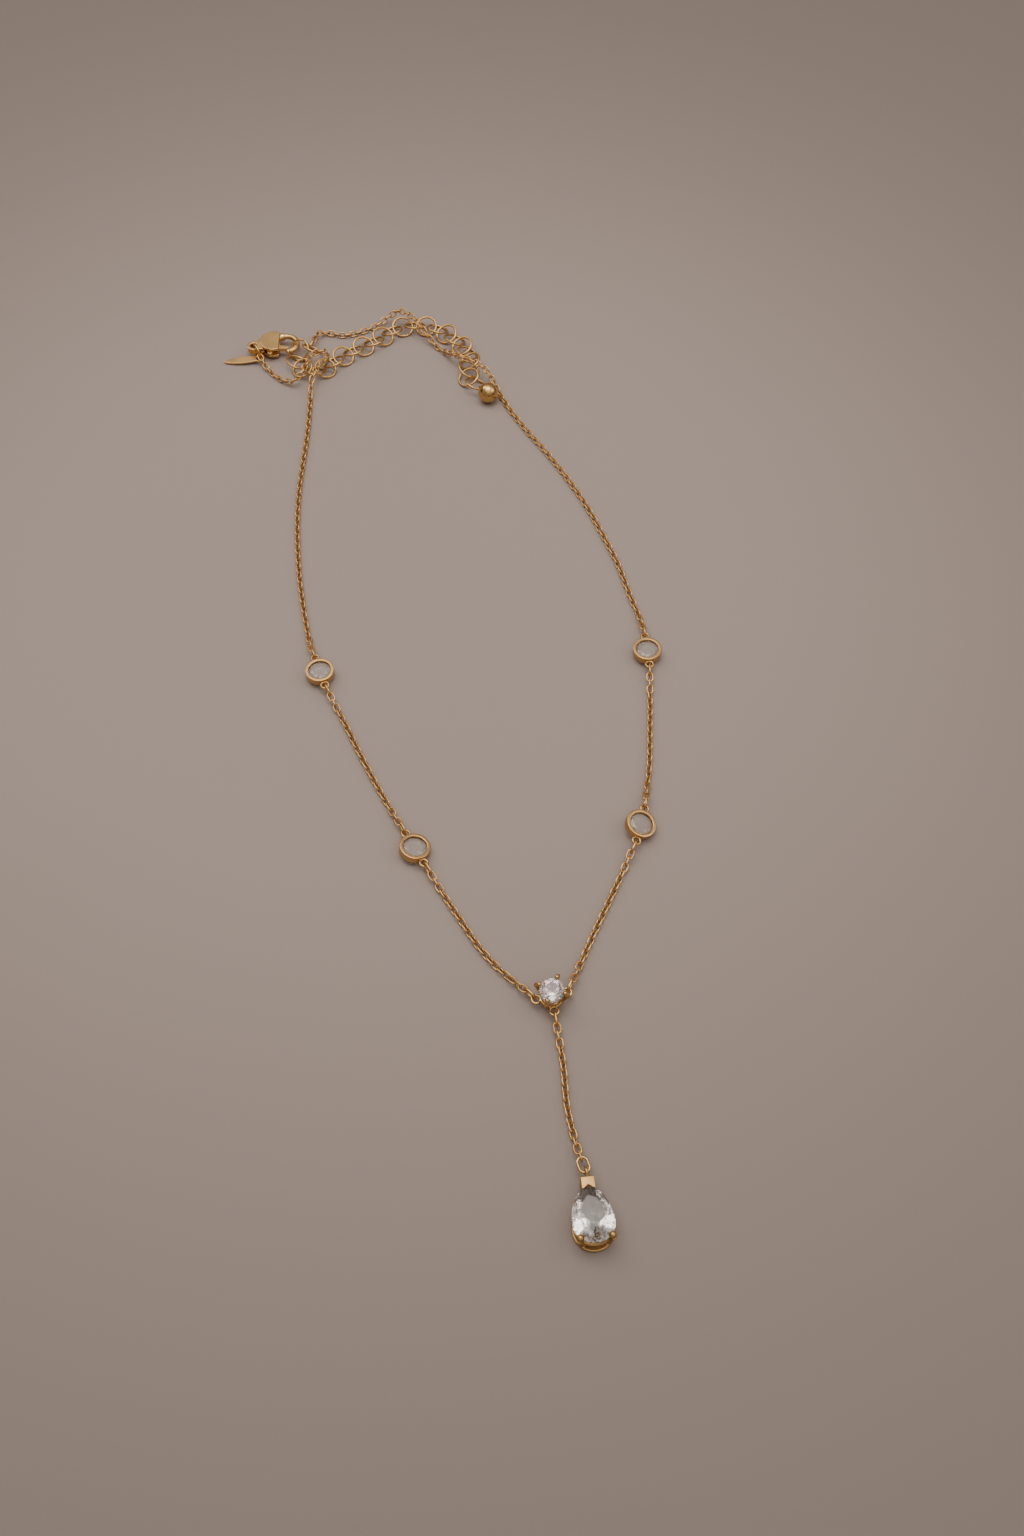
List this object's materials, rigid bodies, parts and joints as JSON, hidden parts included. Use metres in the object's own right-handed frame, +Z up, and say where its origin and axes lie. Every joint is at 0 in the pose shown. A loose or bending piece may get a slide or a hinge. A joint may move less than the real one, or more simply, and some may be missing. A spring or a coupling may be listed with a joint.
{
  "type": "y necklace",
  "caption": "Y necklace of fine cable chain with small bezel-set stones, a round centre stone, a pear drop on a short chain, a lobster clasp and an extender.",
  "frame": {"origin": "middle of the flat underside of the centre setting's base ring, on the surface that the necklace lies on", "axes": "+Z up from the surface; +Y from the centre setting towards the clasp at the back of the neck; +X to the right seen from above with the drop towards the viewer"},
  "size_m": [0.0856, 0.1924, 0.0046],
  "materials": {
    "gold": "polished gold plate",
    "stone": "faceted clear crystal"
  },
  "bodies": {
    "necklace": {"chain_drop": "gold", "chain_left_front": "gold", "chain_right_front": "gold", "chain_left_mid": "gold", "chain_right_mid": "gold", "chain_left_back": "gold", "chain_right_back": "gold", "extender_chain": "gold", "extender_ring": "gold", "end_ball": "gold", "clasp_body": "gold", "clasp_ring": "gold", "tag": "gold", "bezel_left_front": "gold", "bezel_left_back": "gold", "bezel_right_front": "gold", "bezel_right_back": "gold", "stone_left_front": "stone", "stone_left_back": "stone", "stone_right_front": "stone", "stone_right_back": "stone", "jumps_left": "gold", "jumps_right": "gold", "jumps_centre": "gold", "jump_bail": "gold", "centre_setting": "gold", "centre_stone": "stone", "pear_setting": "gold", "pear_stone": "stone"},
    "lever": {"clasp_lever": "gold"}
  },
  "joints": [
    {"name": "lever_pivot", "type": "hinge", "parent": "necklace", "child": "lever", "pos_m": [-0.05595, 0.145, 0.0017], "axis": [0, 0, 1], "range_deg": [0, 22], "stiffness_Nm_per_rad": 0.00005, "springref_deg": -11.46}
  ]
}
